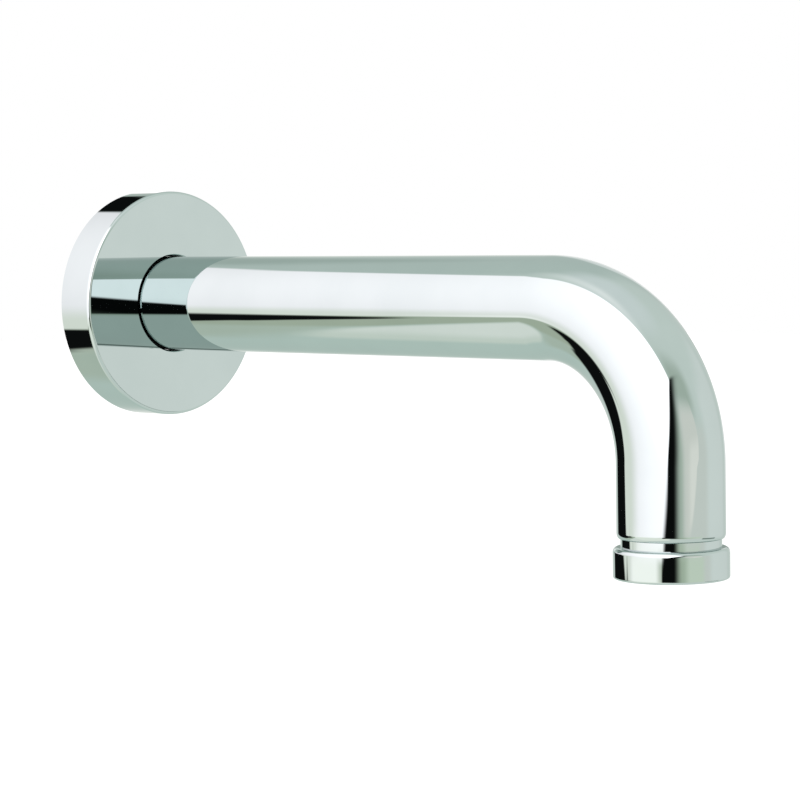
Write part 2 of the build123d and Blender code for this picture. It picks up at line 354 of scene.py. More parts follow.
class Nodes:
    """Short hand for building one node tree."""

    def __init__(self, tree: bpy.types.NodeTree) -> None:
        """Start from an empty tree."""
        self.tree = tree
        tree.nodes.clear()

    def add(self, kind: str, **values: object) -> bpy.types.Node:
        """Add a node and set its properties by name.

        Args:
            kind: the node's type.
            values: properties such as operation or blend_type.

        Returns:
            The node.
        """
        node = self.tree.nodes.new(kind)
        for name, value in values.items():
            setattr(node, name, value)
        return node

    def feed(self, socket: bpy.types.NodeSocket, value: object) -> None:
        """Link an output to a socket, or set the socket's own value.

        Args:
            socket: the input.
            value: an output, a number, a colour or a vector.
        """
        if isinstance(value, bpy.types.NodeSocket):
            self.tree.links.new(value, socket)
        elif isinstance(value, tuple) and len(value) == 3 and socket.type == "RGBA":
            socket.default_value = (*value, 1.0)
        else:
            socket.default_value = value

    def maths(self, operation: Maths, *values: object) -> bpy.types.NodeSocket:
        """Add a Math node.

        Args:
            operation: what it works out.
            values: its inputs.

        Returns:
            Its output.
        """
        node = self.add("ShaderNodeMath", operation=operation.value)
        for socket, value in zip(node.inputs, values):
            self.feed(socket, value)
        return node.outputs[0]

    def dot(self, vector: bpy.types.NodeSocket, along: Vector) -> bpy.types.NodeSocket:
        """Add a dot product of a vector with a fixed direction.

        Args:
            vector: the vector's output.
            along: the direction.

        Returns:
            The product.
        """
        node = self.add("ShaderNodeVectorMath", operation="DOT_PRODUCT")
        self.feed(node.inputs[0], vector)
        node.inputs[1].default_value = along
        return node.outputs["Value"]

    def remap(
        self, value: bpy.types.NodeSocket, source: Span, target: Span = (0.0, 1.0), soft: bool = False
    ) -> bpy.types.NodeSocket:
        """Map a value from one range to another, clamped.

        Args:
            value: what is mapped.
            source: the range that it comes from.
            target: the range that it goes to.
            soft: eased at both ends.

        Returns:
            The mapped output.
        """
        node = self.add("ShaderNodeMapRange", interpolation_type="SMOOTHSTEP" if soft else "LINEAR")
        for name, number in zip(("From Min", "From Max", "To Min", "To Max"), (*source, *target)):
            node.inputs[name].default_value = number
        self.feed(node.inputs["Value"], value)
        return node.outputs["Result"]

    def mix(self, factor: object, first: object, second: object) -> bpy.types.NodeSocket:
        """Mix two colours.

        Args:
            factor: 0 gives the first, 1 the second.
            first: a colour or an output.
            second: a colour or an output.

        Returns:
            The mixed colour.
        """
        node = self.add("ShaderNodeMix", data_type="RGBA")
        self.feed(node.inputs["Factor"], factor)
        self.feed(node.inputs["A"], first)
        self.feed(node.inputs["B"], second)
        return next(out for out in node.outputs if out.type == "RGBA")

    def noise(
        self, vector: bpy.types.NodeSocket, scale: float, detail: float = 3.0, roughness: float = 0.55
    ) -> bpy.types.NodeSocket:
        """Add a noise texture.

        Args:
            vector: its coordinates.
            scale: repeats per metre.
            detail: octaves.
            roughness: share that each octave keeps.

        Returns:
            Its value.
        """
        node = self.add("ShaderNodeTexNoise")
        self.feed(node.inputs["Vector"], vector)
        node.inputs["Scale"].default_value = scale
        node.inputs["Detail"].default_value = detail
        node.inputs["Roughness"].default_value = roughness
        return node.outputs[0]

    def stretch(self, vector: bpy.types.NodeSocket, scale: Triple) -> bpy.types.NodeSocket:
        """Scale coordinates along the three axes.

        Args:
            vector: the coordinates.
            scale: the three factors.

        Returns:
            The scaled coordinates.
        """
        node = self.add("ShaderNodeMapping")
        self.feed(node.inputs["Vector"], vector)
        node.inputs["Scale"].default_value = scale
        return node.outputs["Vector"]


class Surface(Nodes):
    """A material of one principled shader, ready for its textures."""

    def __init__(self, name: str) -> None:
        """Make the material with a shader and object coordinates.

        Args:
            name: the material's name.
        """
        self.material = bpy.data.materials.new(name)
        self.material.use_nodes = True
        super().__init__(self.material.node_tree)
        self.shader = self.add("ShaderNodeBsdfPrincipled")
        output = self.add("ShaderNodeOutputMaterial")
        self.feed(output.inputs["Surface"], self.shader.outputs[0])
        self.place = self.add("ShaderNodeTexCoord").outputs["Object"]

    def put(self, **values: object) -> None:
        """Set or feed the shader's sockets; base_color stands for Base Color."""
        for name, value in values.items():
            self.feed(self.shader.inputs[name.replace("_", " ").title()], value)

    def bump(self, height: bpy.types.NodeSocket, distance: float, strength: float) -> None:
        """Raise the surface by a height output.

        Args:
            height: 0 to 1.
            distance: millimetres that 1 stands for.
            strength: share that is felt.
        """
        node = self.add("ShaderNodeBump")
        node.inputs["Distance"].default_value = distance * MM
        node.inputs["Strength"].default_value = strength
        self.feed(node.inputs["Height"], height)
        self.feed(self.shader.inputs["Normal"], node.outputs[0])


@dataclass(frozen=True)
class ChromeFinish:
    """Polished chrome plate, cool in tint, with the faint haze of a wiped surface."""

    tint: Rgb = (0.47, 0.55, 0.54)
    pale: Rgb = (0.49, 0.57, 0.56)
    edge: Rgb = (0.80, 0.82, 0.82)
    cloud_scale: float = 45.0
    cloud_span: Span = (0.35, 0.65)
    grain_scale: float = 900.0
    haze_span: Span = (0.1, 0.45)
    roughness: Span = (0.008, 0.022)

    def material(self) -> bpy.types.Material:
        """Build the finish.

        Returns:
            The material.
        """
        made = Surface("polished_chrome")
        cloud = made.noise(made.place, self.cloud_scale, detail=4.0)
        grain = made.noise(made.place, self.grain_scale, detail=2.0)
        haze = made.maths(Maths.MULTIPLY, cloud, grain)
        made.put(
            base_color=made.mix(made.remap(cloud, self.cloud_span), self.tint, self.pale),
            metallic=1.0,
            specular_tint=self.edge,
            roughness=made.remap(haze, self.haze_span, self.roughness),
        )
        return made.material


@dataclass(frozen=True)
class BrassFinish:
    """Bare turned brass: fine rings left by the tool, and a little tarnish."""

    bright: Rgb = (0.80, 0.60, 0.30)
    dull: Rgb = (0.60, 0.41, 0.19)
    ring_scale: Triple = (2600.0, 60.0, 60.0)
    ring_height: float = 0.03
    ring_relief: float = 0.35
    tarnish_scale: float = 130.0
    tarnish_span: Span = (0.4, 0.75)
    wear_span: Span = (0.7, 1.4)
    roughness: Span = (0.2, 0.42)

    def material(self) -> bpy.types.Material:
        """Build the finish.

        Returns:
            The material.
        """
        made = Surface("turned_brass")
        rings = made.noise(made.stretch(made.place, self.ring_scale), 1.0, detail=2.0)
        tarnish = made.noise(made.place, self.tarnish_scale, detail=5.0, roughness=0.65)
        wear = made.maths(Maths.ADD, rings, tarnish)
        made.put(
            base_color=made.mix(made.remap(tarnish, self.tarnish_span), self.bright, self.dull),
            metallic=1.0,
            roughness=made.remap(wear, self.wear_span, self.roughness),
        )
        made.bump(rings, self.ring_height, self.ring_relief)
        return made.material


@dataclass(frozen=True)
class RubberFinish:
    """Black moulded rubber with a dusty bloom."""

    black: Rgb = (0.010, 0.010, 0.011)
    bloom: Rgb = (0.028, 0.029, 0.031)
    speckle_scale: float = 1500.0
    speckle_height: float = 0.05
    speckle_relief: float = 0.4
    patch_size: float = 9.0
    patch_span: Span = (0.4, 0.7)
    roughness: Span = (0.5, 0.72)

    def material(self) -> bpy.types.Material:
        """Build the finish.

        Returns:
            The material.
        """
        made = Surface("black_rubber")
        speckle = made.noise(made.place, self.speckle_scale, detail=4.0, roughness=0.6)
        patches = made.noise(made.place, self.speckle_scale / self.patch_size, detail=2.0)
        made.put(
            base_color=made.mix(made.remap(patches, self.patch_span), self.black, self.bloom),
            roughness=made.remap(speckle, NOISE_SPAN, self.roughness),
        )
        made.bump(speckle, self.speckle_height, self.speckle_relief)
        return made.material


@dataclass(frozen=True)
class PlasticFinish:
    """Pale moulded plastic of the water insert, with faint flow marks."""

    pale: Rgb = (0.66, 0.68, 0.68)
    shade: Rgb = (0.55, 0.57, 0.575)
    flow_scale: float = 160.0
    flow_stretch: Triple = (1.0, 1.0, 0.35)
    flow_span: Span = (0.35, 0.7)
    grain_scale: float = 2200.0
    grain_height: float = 0.02
    grain_relief: float = 0.3
    roughness: Span = (0.34, 0.5)

    def material(self) -> bpy.types.Material:
        """Build the finish.

        Returns:
            The material.
        """
        made = Surface("moulded_plastic")
        flow = made.noise(made.stretch(made.place, self.flow_stretch), self.flow_scale)
        grain = made.noise(made.place, self.grain_scale, detail=2.0)
        made.put(
            base_color=made.mix(made.remap(flow, self.flow_span), self.pale, self.shade),
            roughness=made.remap(grain, NOISE_SPAN, self.roughness),
        )
        made.bump(grain, self.grain_height, self.grain_relief)
        return made.material


@dataclass(frozen=True)
class FoamFinish:
    """Closed-cell foam: small raised cells, with painted shade in the creases where they meet and a random
    drift.
    """

    cell: Rgb = (0.15, 0.155, 0.16)
    # painted shade: the colour laid in the creases between the raised cells
    wall: Rgb = (0.055, 0.056, 0.06)
    cell_scale: float = 1100.0
    cell_span: Span = (0.05, 0.6)
    cell_height: float = 0.25
    cell_relief: float = 0.6
    drift_size: float = 12.0
    roughness: Span = (0.8, 0.95)

    def material(self) -> bpy.types.Material:
        """Build the finish.

        Returns:
            The material.
        """
        made = Surface("cell_foam")
        cells = made.add("ShaderNodeTexVoronoi", feature="SMOOTH_F1")
        made.feed(cells.inputs["Vector"], made.place)
        cells.inputs["Scale"].default_value = self.cell_scale
        depth = made.remap(cells.outputs["Distance"], self.cell_span, (1.0, 0.0))
        drift = made.noise(made.place, self.cell_scale / self.drift_size)
        made.put(
            # painted shade towards the creases between the cells, mixed with the random drift
            base_color=made.mix(made.maths(Maths.MULTIPLY, depth, drift), self.wall, self.cell),
            roughness=made.remap(drift, NOISE_SPAN, self.roughness),
        )
        made.bump(depth, self.cell_height, self.cell_relief)
        return made.material


@dataclass(frozen=True)
class SteelFinish:
    """Stainless set screw with drawn-wire streaks along it."""

    light: Rgb = (0.62, 0.61, 0.59)
    dark: Rgb = (0.44, 0.43, 0.42)
    streak_scale: float = 3000.0
    streak_stretch: Triple = (1.0, 1.0, 0.06)
    streak_span: Span = (0.35, 0.7)
    streak_height: float = 0.01
    streak_relief: float = 0.3
    roughness: Span = (0.24, 0.4)

    def material(self) -> bpy.types.Material:
        """Build the finish.

        Returns:
            The material.
        """
        made = Surface("drawn_steel")
        streak = made.noise(made.stretch(made.place, self.streak_stretch), self.streak_scale)
        made.put(
            base_color=made.mix(made.remap(streak, self.streak_span), self.light, self.dark),
            metallic=1.0,
            roughness=made.remap(streak, NOISE_SPAN, self.roughness),
        )
        made.bump(streak, self.streak_height, self.streak_relief)
        return made.material


@dataclass
class SpoutTube:
    """The bent tube, open at both ends, with the set screw's hole underneath."""

    bench: Bench
    screw_at: float
    radius: float = TUBE_RADIUS
    bore: float = 11.0
    start: float = 4.0
    reach: float = TUBE_REACH
    bend: float = 35.0
    end: float = 52.0
    end_round: float = 0.6
    end_reach: float = 1.4
    round_steps: int = 14
    bend_steps: int = 72
    run_rings: tuple[float, ...] = (8.0, 20.0, 50.0, 80.0, 110.0)
    nose_rings: tuple[float, ...] = (40.0, 46.0)
    screw_radius: float = 2.55
    drill_sides: int = 64
    drill_start: float = -7.0
    drill_travel: float = -8.0

    def build(self, material: bpy.types.Material) -> bpy.types.Object:
        """Draw the tube out of one ring: outside down to the nose, then back up the bore.

        Args:
            material: its finish.

        Returns:
            The tube.
        """
        bench = self.bench
        straight = self.reach - self.bend
        piece = bench.ring("tube_shell", Axle.WALL, (self.start, self.radius), RADIAL_STEPS)
        stations = [self.start, *self.run_rings, straight]
        bench.follow(Axle.WALL, [(along, self.radius) for along in stations])
        self.spin(1.0)
        nose = [(along, self.radius) for along in (self.bend, *self.nose_rings)]
        for step in range(self.round_steps + 1):
            turn = math.pi / 2 * step / self.round_steps
            along = self.end - self.end_reach * (1 - math.sin(turn))
            nose.append((along, self.radius - self.end_round * (1 - math.cos(turn))))
        nose += [(self.end, self.bore), (self.bend, self.bore)]
        bench.follow(Axle.OUTLET, nose)
        self.spin(-1.0)
        bench.follow(Axle.WALL, [(along, self.bore) for along in reversed(stations)])
        bench.close()
        bench.cut(piece, self.screw_tool())
        bench.smooth(piece)
        bench.hand_over(piece, material, Slot.CHROME, ["spout_tube"])
        return piece

    def spin(self, way: float) -> None:
        """Take the selected ring round the bend.

        Args:
            way: 1 goes down to the nose, -1 comes back up.
        """
        centre = Vector((self.reach - self.bend, 0.0, -self.bend)) * MM
        bpy.ops.mesh.spin(
            steps=self.bend_steps, angle=-way * math.pi / 2, center=centre, axis=(0.0, 1.0, 0.0)
        )

    def screw_tool(self) -> bpy.types.Object:
        """Make the drill that opens the set screw's hole.

        Returns:
            The drill.
        """
        return self.bench.prism(
            "drill",
            self.drill_sides,
            self.screw_radius,
            start=(self.screw_at, 0.0, self.drill_start),
            travel=(0.0, 0.0, self.drill_travel),
        )


@dataclass
class WallFlange:
    """The cover flange: slightly domed face, straight rim, hollow back and a hub round the tube."""

    bench: Bench
    radius: float = 30.0
    depth: float = 11.0
    crown: float = 2500.0
    rim_round: float = 0.9
    rim_steps: int = 10
    hole: float = 12.95
    hole_bevel: float = 0.25
    lip: float = 1.2
    groove: float = 14.9
    groove_width: float = 2.7
    guide: float = 12.65
    hub: float = 17.0
    hub_lip: float = 2.4
    plate: float = 3.0
    hollow_bevel: float = 1.0
    ledge: float = 24.5
    seat: float = 27.5
    gasket: float = 2.5
    seal_width: float = 2.6
    face_rings: int = 18
    face_margin: float = 0.02
    turn_steps: int = 256

    def face(self, radius: float) -> float:
        """Height of the domed face at a radius."""
        middle = self.depth - math.sqrt(self.crown**2 - self.radius**2)
        return middle + math.sqrt(self.crown**2 - radius**2)

    @property
    def mouth(self) -> float:
        """Where the face ends at the tube."""
        return self.face(self.hole)

    @property
    def groove_middle(self) -> float:
        """Middle of the rubber ring's groove."""
        return self.mouth - self.lip - self.groove_width / 2

    def build(self, material: bpy.types.Material) -> bpy.types.Object:
        """Turn the flange from its rim over the face and through the hollow back.

        Args:
            material: its finish.

        Returns:
            The flange.
        """
        front = self.mouth - self.lip
        back = front - self.groove_width
        hollow = self.depth - self.plate
        bevel = self.hollow_bevel
        outer = self.radius - self.rim_round - self.face_margin
        inner = self.hole + self.hole_bevel
        face = []
        for ring in range(self.face_rings + 1):
            at = outer + (inner - outer) * ring / self.face_rings
            face.append(Corner(self.face(at), at))
        corners = [
            Corner(0.0, self.radius),
            Corner(self.depth, self.radius, self.rim_round, self.rim_steps),
            *face,
            Corner(self.mouth - self.hole_bevel, self.hole),
            Corner(front, self.hole),
            Corner(front, self.groove),
            Corner(back, self.groove),
            Corner(back, self.guide),
            Corner(back - self.hub_lip, self.guide),
            Corner(back - self.hub_lip, self.hub),
            Corner(hollow - bevel, self.hub),
            Corner(hollow, self.hub + bevel),
            Corner(hollow, self.ledge - bevel),
            Corner(hollow - bevel, self.ledge),
            Corner(self.gasket, self.ledge),
            Corner(self.gasket, self.seat),
            Corner(0.0, self.seat),
        ]
        piece = self.bench.turned("flange_shell", Axle.WALL, corners, self.turn_steps)
        self.bench.smooth(piece)
        self.bench.hand_over(piece, material, Slot.CHROME, ["wall_flange"])
        return piece


@dataclass
class Outlet:
    """The outlet end: the neck under the tube and the ring that holds the water insert."""

    bench: Bench
    neck: float = 11.6
    spigot: float = 10.95
    spigot_top: float = 42.0
    tube_end: float = 52.0
    top: float = 54.0
    bottom: float = 61.2
    thread: float = 11.0
    thread_end: float = 58.0
    bore: float = 9.2
    ring: float = 13.4
    seat: float = 11.05
    lip_top: float = 60.2
    opening: float = 8.6
    opening_bevel: float = 0.3
    top_round: float = 1.1
    top_steps: int = 10
    bottom_round: float = 0.6
    bottom_steps: int = 8

    def build(self, material: bpy.types.Material) -> None:
        """Turn the neck and the ring.

        Args:
            material: their finish.
        """
        neck = [
            Corner(self.spigot_top, self.bore),
            Corner(self.spigot_top, self.spigot),
            Corner(self.tube_end, self.spigot),
            Corner(self.tube_end, self.neck),
            Corner(self.top, self.neck),
            Corner(self.top, self.thread),
            Corner(self.thread_end, self.thread),
            Corner(self.thread_end, self.bore),
        ]
        ring = [
            Corner(self.top, self.seat),
            Corner(self.top, self.ring, self.top_round, self.top_steps),
            Corner(self.bottom, self.ring, self.bottom_round, self.bottom_steps),
            Corner(self.bottom, self.opening + self.opening_bevel),
            Corner(self.bottom - self.opening_bevel, self.opening),
            Corner(self.lip_top, self.opening),
            Corner(self.lip_top, self.seat),
        ]
        shells = (("neck_shell", neck, "nose_bush"), ("outlet_ring_shell", ring, "aerator_housing"))
        for name, corners, node in shells:
            piece = self.bench.turned(name, Axle.OUTLET, corners)
            self.bench.smooth(piece)
            self.bench.hand_over(piece, material, Slot.CHROME, [node])


@dataclass
class Seal:
    """A squeezed rubber ring, rounded where nothing presses it."""

    bench: Bench
    node: str
    middle: float
    inner: float
    outer: float
    width: float
    gap: float = 0.05
    round_share: float = 0.42
    round_steps: int = 7
    smooth_angle: float = 60.0

    def build(self, material: bpy.types.Material) -> bpy.types.Object:
        """Turn the ring from its rounded section.

        Args:
            material: its finish.

        Returns:
            The ring.
        """
        low, high = self.inner + self.gap, self.outer - self.gap
        back, front = self.middle - self.width / 2, self.middle + self.width / 2
        bend = self.round_share * min(self.width, high - low)
        edges = ((back, low), (back, high), (front, high), (front, low))
        section = [Corner(along, radius, bend, self.round_steps) for along, radius in edges]
        piece = self.bench.turned(f"{self.node}_seal", Axle.WALL, section)
        self.bench.smooth(piece, self.smooth_angle)
        self.bench.hand_over(piece, material, Slot.RUBBER, [self.node])
        return piece


@dataclass
class WallNipple:
    """The turned nipple: a pipe thread for the wall, a collar, and a spigot with two ring grooves.

    The thread's profile is a chain of steps, each a share of the pitch along and of the depth down.
    """

    bench: Bench
    mouth: float
    thread: float = 10.4775
    pitch: float = 1.814
    thread_depth: float = 1.162
    profile: tuple[Point, ...] = (
        (0.10, 0.0), (0.08, 0.12), (0.30, 0.76), (0.08, 0.12),
        (0.10, 0.0), (0.06, -0.12), (0.22, -0.76), (0.06, -0.12),
    )
    spare_turns: int = 2
    back: float = -14.0
    bevel: float = 1.2
    collar: float = 11.8
    collar_back: float = 0.5
    collar_front: float = 4.0
    collar_round: float = 0.2
    collar_steps: int = 4
    spigot: float = 9.0
    spigot_tail: float = 4.0
    spigot_bevel: float = 0.8
    bore: float = 5.5
    hex_sides: int = 6
    hex_step: float = 0.5
    hex_depth: float = 8.0
    hex_lead: float = 1.0
    screw_step: float = 7.0
    screw_half: float = 3.0
    screw_floor: float = 8.0
    ring_step: float = 7.5
    ring_pitch: float = 5.5
    ring_half: float = 1.15
    ring_floor: float = 7.4
    seal_outside: float = 9.1
    seal_width: float = 2.2
    wind_steps: int = 96
    turn_steps: int = 128
    smooth_angle: float = 40.0

    @property
    def screw_at(self) -> float:
        """Where the set screw presses on the spigot."""
        return self.mouth + self.screw_step

    @property
    def ring_places(self) -> tuple[float, float]:
        """Middles of the two rubber rings' grooves."""
        first = self.screw_at + self.ring_step
        return first, first + self.ring_pitch

    @property
    def spigot_end(self) -> float:
        """Where the spigot ends inside the tube."""
        return self.ring_places[1] + self.spigot_tail

    def build(self, material: bpy.types.Material) -> bpy.types.Object:
        """Cut the thread, turn the spigot and join the two.

        Args:
            material: its finish.

        Returns:
            The nipple.
        """
        rod = self.thread_rod()
        spigot = self.spigot_piece()
        self.bench.only(rod, spigot)
        bpy.ops.object.join()
        self.bench.smooth(rod, self.smooth_angle)
        self.bench.hand_over(rod, material, Slot.BRASS, ["wall_nipple"])
        return rod

    def thread_rod(self) -> bpy.types.Object:
        """Wind the thread's profile into a rod, then bevel its start and bore it.

        Returns:
            The rod.
        """
        bpy.ops.object.select_all(action="DESELECT")
        first = self.back - self.spare_turns * self.pitch
        bpy.ops.mesh.primitive_plane_add(size=MM, location=(first * MM, 0.0, self.thread * MM))
        rod = self.bench.settle("nipple_threaded")
        bpy.ops.object.mode_set(mode="EDIT")
        bpy.ops.mesh.select_all(action="SELECT")
        bpy.ops.mesh.merge(type="CENTER")
        for along, down in self.profile:
            step = (along * self.pitch * MM, 0.0, -down * self.thread_depth * MM)
            bpy.ops.mesh.extrude_region_move(TRANSFORM_OT_translate={"value": step})
        bpy.ops.object.mode_set(mode="OBJECT")
        winding = rod.modifiers.new("wind", "SCREW")
        winding.axis = "X"
        winding.steps = winding.render_steps = self.wind_steps
        winding.screw_offset = self.pitch * MM
        winding.iterations = int((self.collar_back - first) / self.pitch) + self.spare_turns
        self.bench.only(rod)
        bpy.ops.object.modifier_apply(modifier=winding.name)
        bpy.ops.object.mode_set(mode="EDIT")
        bpy.ops.mesh.select_all(action="SELECT")
        bpy.ops.mesh.remove_doubles(threshold=MERGE)
        for along, side in ((self.back, -1.0), (self.collar_back, 1.0)):
            bpy.ops.mesh.select_all(action="SELECT")
            bpy.ops.mesh.bisect(
                plane_co=(along * MM, 0.0, 0.0),
                plane_no=(side, 0.0, 0.0),
                use_fill=True,
                clear_outer=True,
                threshold=CUT_MERGE,
            )
        self.bench.tidy()
        envelope = self.bench.turned(
            "envelope",
            Axle.WALL,
            [
                Corner(self.back, self.bore),
                Corner(self.back, self.thread - self.bevel),
                Corner(self.back + self.bevel, self.thread),
                Corner(self.collar_back, self.thread),
                Corner(self.collar_back, self.bore),
            ],
        )
        self.bench.cut(rod, envelope, Cut.INSIDE)
        return rod

    def spigot_piece(self) -> bpy.types.Object:
        """Turn the collar and the spigot, and sink the hex socket in its end.

        Returns:
            The spigot.
        """
        corners = [
            Corner(self.collar_back, self.bore),
            Corner(self.collar_back, self.collar),
            Corner(self.collar_front, self.collar, self.collar_round, self.collar_steps),
            Corner(self.collar_front, self.spigot),
        ]
        grooves = [(self.screw_at, self.screw_half, self.screw_floor)]
        grooves += [(place, self.ring_half, self.ring_floor) for place in self.ring_places]
        for middle, half, floor in grooves:
            for along, radius in ((-half, self.spigot), (-half, floor), (half, floor), (half, self.spigot)):
                corners.append(Corner(middle + along, radius))
        corners += [
            Corner(self.spigot_end - self.spigot_bevel, self.spigot),
            Corner(self.spigot_end, self.spigot - self.spigot_bevel),
            Corner(self.spigot_end, self.bore),
        ]
        piece = self.bench.turned("spigot", Axle.WALL, corners, self.turn_steps)
        key = self.bench.prism(
            "key",
            self.hex_sides,
            (self.bore + self.hex_step) / math.cos(math.pi / self.hex_sides),
            start=(self.spigot_end + self.hex_lead, 0.0, 0.0),
            travel=(-(self.hex_depth + self.hex_lead), 0.0, 0.0),
            turn=(0.0, math.pi / 2, 0.0),
        )
        self.bench.cut(piece, key)
        return piece


@dataclass
class CarriedOver:
    """Nodes whose shape is right as it is, and which only get their finish."""

    finishes: dict[Slot, tuple[str, ...]] = field(
        default_factory=lambda: {
            Slot.BRASS: ("inlet_bush",),
            Slot.RUBBER: ("aerator_washer",),
            Slot.PLASTIC: ("aerator_cartridge", "aerator_honeycomb", "aerator_jet_plate", "aerator_strainer"),
            Slot.FOAM: ("wall_gasket",),
            Slot.STEEL: ("grub_screw",),
        }
    )

    def dress(self, materials: dict[Slot, bpy.types.Material]) -> None:
        """Give each node its material.

        Args:
            materials: the finishes by slot.
        """
        for slot, names in self.finishes.items():
            for name in names:
                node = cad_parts[name]
                node.data.materials.clear()
                node.data.materials.append(materials[slot])
                LOG.info("%s: finish %s", name, slot.value)


@dataclass(frozen=True)
class Patch:
    """A patch of the studio, as the directions that the spout sees it in.

    Args:
        corners: azimuth and elevation of its corners, in degrees, in order.
        soft: half width of each edge's fade, in degrees; one number serves all edges.
    """

    corners: tuple[Point, ...]
    soft: tuple[float, ...]

    def softness(self, index: int) -> float:
        """Fade of one edge, in degrees."""
        return self.soft[index % len(self.soft)]


@dataclass(frozen=True)
class Card(Patch):
    """A sheet of one colour.

    Args:
        colour: what the chrome shows of it, in screen values from 0 to 255.
    """

    colour: Rgb


def linear(value: float) -> float:
    """Turn one screen value from 0 to 255 into light, by the usual curve of a screen."""
    share = value / 255
    return share / 12.92 if share <= 0.04045 else ((share + 0.055) / 1.055) ** 2.4


def direction(azimuth: float, elevation: float) -> Vector:
    """Unit vector towards an azimuth, 0 towards -Y and 90 towards +X, and an elevation, in degrees."""
    turn, rise = math.radians(azimuth), math.radians(elevation)
    return Vector((math.sin(turn) * math.cos(rise), -math.cos(turn) * math.cos(rise), math.sin(rise)))


ROOM_CARDS = (
    # Upper left wall, and a pale strip above the softbox.
    Card(((-158, 14), (-72, 14), (-72, 63), (-158, 63)), (8,), (164, 182, 176)),
    Card(((-70, 60), (45, 60), (35, 80), (-60, 80)), (9,), (216, 226, 224)),
    # Right wall, as the bend and the nose show it.
    Card(((64, 24), (103, 17), (106, 40), (64, 48)), (9,), (150, 168, 157)),
    Card(((40, -20), (124, -20), (124, 10), (40, 10)), (6,), (183, 194, 188)),
    Card(((40, -20), (67, -20), (67, 24), (40, 24)), (4, 8, 8, 4), (152, 170, 158)),
    # Pale sheet on the right wall, and the table's edge below it.
    Card(
        (
            (67, -9.9), (78, -9.3), (87, -8.4), (94, -6.8), (98.5, -3), (100.5, 6), (99.5, 14),
            (96, 22), (67, 22),
        ),
        (0.5, 0.5, 0.6, 0.6, 0.6, 0.8, 0.8, 6, 8),
        (190, 198, 191),
    ),
    Card(
        ((78, -9.3), (87, -8.4), (94, -6.8), (98.5, -3), (100.5, 6), (80, 4)),
        (0.5, 0.6, 0.6, 0.6, 5, 6),
        (203, 210, 203),
    ),
    Card(
        ((40, -9.7), (56, -9.7), (72, -9.7), (88, -9.7), (104, -9.7), (104, -18), (40, -18)),
        (0.6, 0.6, 0.6, 0.6, 6, 4, 6),
        (179, 197, 181),
    ),
    Card(((40, -9.7), (54, -9.7), (68, -9.7), (68, -18), (40, -18)), (0.6, 0.6, 8, 4, 6), (150, 169, 151)),
    # Back wall, and a grey panel on the left wall.
    Card(((120, -20), (178, -20), (178, 26), (120, 26)), (9,), (191, 204, 200)),
    Card(((-122, 8), (-100, 8), (-102, 35), (-122, 35)), (5,), (148, 167, 160)),
    # Floor to the left, as the tube's underside shows it.
    Card(((-136, -14), (-40, -14), (-40, -75), (-136, -75)), (5,), (166, 187, 179)),
    Card(((-44, -12), (-80, -13), (-83, -26), (-62, -24.5), (-48, -19)), (4,), (143, 161, 143)),
    Card(((-50, -20), (-80, -22), (-88, -34), (-72, -35), (-58, -28)), (4,), (158, 176, 163)),
    Card(
        ((-44, -18.7), (-51, -23.2), (-80, -36.8), (-88, -60), (-30, -75), (-20, -30)),
        (2, 1.2, 4, 6, 6, 6),
        (184, 199, 189),
    ),
    Card(
        ((-44, -18.7), (-51, -23.2), (-66, -31.5), (-68, -45), (-20, -45), (-20, -30)),
        (2, 1.2, 6, 6, 6, 6),
        (198, 210, 203),
    ),
    # Stripes and a grey flag at the back.
    Card(((-153, 3), (-137, 3), (-137, 20), (-145, 33), (-152, 30)), (2.5,), (196, 209, 206)),
    Card(
        ((108, -19), (126, -19.5), (144, -19), (146, -26), (128, -29), (108, -28)),
        (1.5,),
        (108, 124, 118),
    ),
    Card(((-156, 0), (-134, 0), (-134, 6), (-156, 6)), (2,), (126, 145, 138)),
    Card(((-172, -7), (-134, -8), (-137, -1), (-170, -1)), (2.5,), (196, 209, 206)),
    Card(((-142, -21), (-129, -17), (-126, -4), (-142, -4)), (3, 3, 2, 2), (196, 209, 206)),
)
SOFTBOX = (
    # The big sheet, then the wings to its left.
    Patch(
        (
            (-66, -11.3), (38, -14.5), (70, 25), (66, 37.5), (57.5, 50.5), (50, 58), (42, 62.7),
            (22, 68.7), (0, 70.8), (-26, 68.8), (-44, 64.8), (-53, 59.5), (-66, 47),
        ),
        (3, 2, 2, 1.2, 1.2, 1.2, 1.2, 1.5, 1.5, 1.5, 1.2, 1.2, 3),
    ),
    Patch(((-101, -9), (-84, -9), (-84, 39.8), (-94.5, 36.4), (-101, 31.2)), (1.5, 0.5, 1, 1, 1)),
    Patch(((-90, -9), (-66, -10), (-66, 48.6), (-90, 37.6)), (1.5, 0.5, 1, 0.5)),
    Patch(((-72, -10), (-56, -11), (-56, 53.6), (-72, 45.4)), (1.5, 0.5, 1, 0.5)),
)
